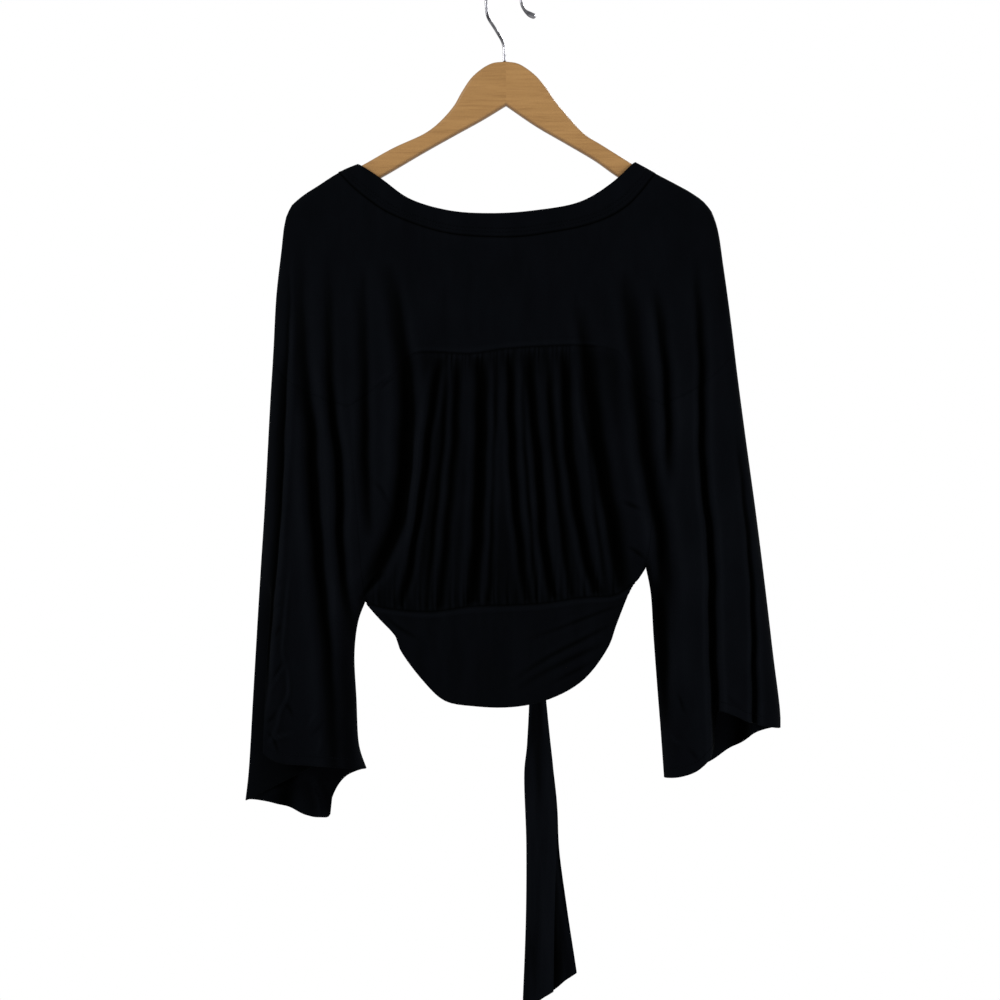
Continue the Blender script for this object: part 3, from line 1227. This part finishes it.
neck_rows = band_stitches("neckband_back_stitches", BACK, neck_edge, neck_seam,
                          band_pieces["neckband_back"])
left_rows = band_stitches("neckband_left_stitches", FRONT, left_wrap_edge, left_wrap_seam,
                          band_pieces["neckband_left"], (0.03, 0.9), under_layer)
right_rows = band_stitches("neckband_right_stitches", FRONT, right_wrap_edge, right_wrap_seam,
                           band_pieces["neckband_right"], (0.03, 0.9))
left_cuff_rows = hem_stitches("cuff_left_stitches", left_hem, sleeve_left)
right_cuff_rows = hem_stitches("cuff_right_stitches", right_hem, sleeve_right)


# The hanger


def arm(node, outline, way, material):
    """Half of the hanger: a board with rounded edges, cut square at the mitre."""
    smooth = drawn(outline, count=150)
    past = MITRE_ACROSS - way * MITRE_REACH
    flat = np.vstack([smooth, [past, outline[-1][1]], [past, outline[0][1]]])
    curve = bpy.data.curves.new(node, "CURVE")
    curve.dimensions = "2D"
    curve.fill_mode = "BOTH"
    curve.extrude = BOARD / 2 - BOARD_ROUND
    curve.bevel_depth = BOARD_ROUND
    curve.bevel_resolution = 5
    curve.offset = -BOARD_ROUND
    spline = curve.splines.new("POLY")
    spline.points.add(len(flat) - 1)
    for point, (a, b) in zip(spline.points, flat):
        point.co = (float(x_of(a)), float(z_of(b)), 0, 1)
    spline.use_cyclic_u = True
    shape = placed(node + "_curve", curve)
    bpy.context.view_layer.update()
    mesh = bpy.data.meshes.new_from_object(shape.evaluated_get(bpy.context.evaluated_depsgraph_get()))
    bpy.data.objects.remove(shape)
    work = bmesh.new()
    work.from_mesh(mesh)
    for vertex in work.verts:
        vertex.co = Vector((vertex.co.x, -vertex.co.z, vertex.co.y))
    bmesh.ops.remove_doubles(work, verts=work.verts, dist=1e-6)
    everything = work.verts[:] + work.edges[:] + work.faces[:]
    mitre = (float(x_of(MITRE_ACROSS)), 0, 0)
    cut = bmesh.ops.bisect_plane(work, geom=everything, dist=1e-6, plane_co=mitre, plane_no=(-way, 0, 0),
                                 clear_outer=True)
    bmesh.ops.holes_fill(work, edges=[e for e in cut["geom_cut"] if isinstance(e, bmesh.types.BMEdge)])
    bmesh.ops.recalc_face_normals(work, faces=work.faces)
    work.to_mesh(mesh)
    work.free()
    mesh.materials.clear()
    mesh.materials.append(material)
    mesh.polygons.foreach_set("use_smooth", [True] * len(mesh.polygons))
    mesh.set_sharp_from_angle(angle=math.radians(40))
    piece = placed(node + "_wood", mesh)
    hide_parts(node)
    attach(piece, "root")


def hook(sides=20):
    """Bent wire with a rounded tip: rings along its route."""
    route = drawn(HOOK, count=220)
    centre = np.stack([x_of(route[:, 0]), 0 * route[:, 0], z_of(route[:, 1])], axis=1)
    run = run_along(centre)
    to_end = run[-1] - run
    tip = HOOK_TIP / 2
    rounded = np.sqrt(np.clip(tip**2 - (tip - to_end) ** 2, 0, None))
    thinning = mix(tip, WIRE / 2, ease((to_end - 2 * tip) / (3 * tip)))
    radius = np.where(to_end < tip, rounded, thinning)
    radius[-1] = 1e-5
    level = np.array([0.0, 1.0, 0.0])
    beside = np.cross(unit(np.gradient(centre, axis=0)), level)
    turn = np.linspace(0, 2 * math.pi, sides, endpoint=False)[None, :, None]
    ring = np.cos(turn) * beside[:, None] + np.sin(turn) * level
    points = (centre[:, None] + ring * radius[:, None, None]).reshape(-1, 3)
    polygons = []
    for i in range(len(run) - 1):
        for j in range(sides):
            k = (j + 1) % sides
            polygons.append([i * sides + j, i * sides + k, (i + 1) * sides + k, (i + 1) * sides + j])
    polygons.append(list(range(sides))[::-1])
    polygons.append([(len(run) - 1) * sides + j for j in range(sides)])
    make_mesh("hanger_hook_wire", points, polygons, chrome, "hanger_hook")


arm("hanger_arm_left", LEFT_ARM, -1, wood_material("left_hardwood", math.radians(-30)))
arm("hanger_arm_right", RIGHT_ARM, 1, wood_material("right_hardwood", math.radians(30)))
hook()


# What each piece was cut to: width, length and area of the layer that shows, in metres


# Floor, light and camera


def pale_floor(level=-1.35, near=-3.2, far=1.15, wide=2.4):
    floor = bpy.data.meshes.new("floor")
    corners = [(-wide, near, level), (wide, near, level), (wide, far, level), (-wide, far, level)]
    floor.from_pydata(corners, [], [(0, 1, 2, 3)])
    pale = Graph("pale_floor").finished({"Base Color": (0.82, 0.82, 0.82, 1), "Roughness": 0.9})
    floor.materials.append(pale)
    placed("floor", floor)


def area_light(name, place, target, size, watts):
    data = bpy.data.lights.new(name, "AREA")
    data.shape = "DISK"
    data.size = size
    data.energy = watts
    light = placed(name, data)
    light.location = place
    light.rotation_euler = (Vector(target) - Vector(place)).to_track_quat("-Z", "Y").to_euler()


pale_floor()
world = bpy.data.worlds.new("white_room")
world.use_nodes = True
world.node_tree.nodes["Background"].inputs["Color"].default_value = (1, 1, 1, 1)
world.node_tree.nodes["Background"].inputs["Strength"].default_value = 1.0
bpy.context.scene.world = world
bpy.context.scene.view_settings.view_transform = "Standard"

MIDDLE = (0, 0, -0.5)
area_light("key", (-2.1, -1.5, 0.5), MIDDLE, 0.8, 90)
area_light("second_key", (2.2, -1.4, 0.3), MIDDLE, 0.9, 70)
area_light("front_key", (1.4, 2.2, 0.8), MIDDLE, 1.0, 70)

# The photograph is 1000 grid steps wide at the garment's mid plane
DISTANCE = 2.4
SENSOR = 36
PHOTO_STEPS = 1000
camera = bpy.data.cameras.new("camera")
camera.sensor_width = SENSOR
camera.lens = SENSOR * DISTANCE / (PHOTO_STEPS * GRID)
viewer = placed("camera", camera)
viewer.location = (float(x_of(PHOTO_STEPS / 2)), -DISTANCE, float(z_of(PHOTO_STEPS / 2)))
viewer.rotation_euler = (math.pi / 2, 0, 0)
bpy.context.scene.camera = viewer
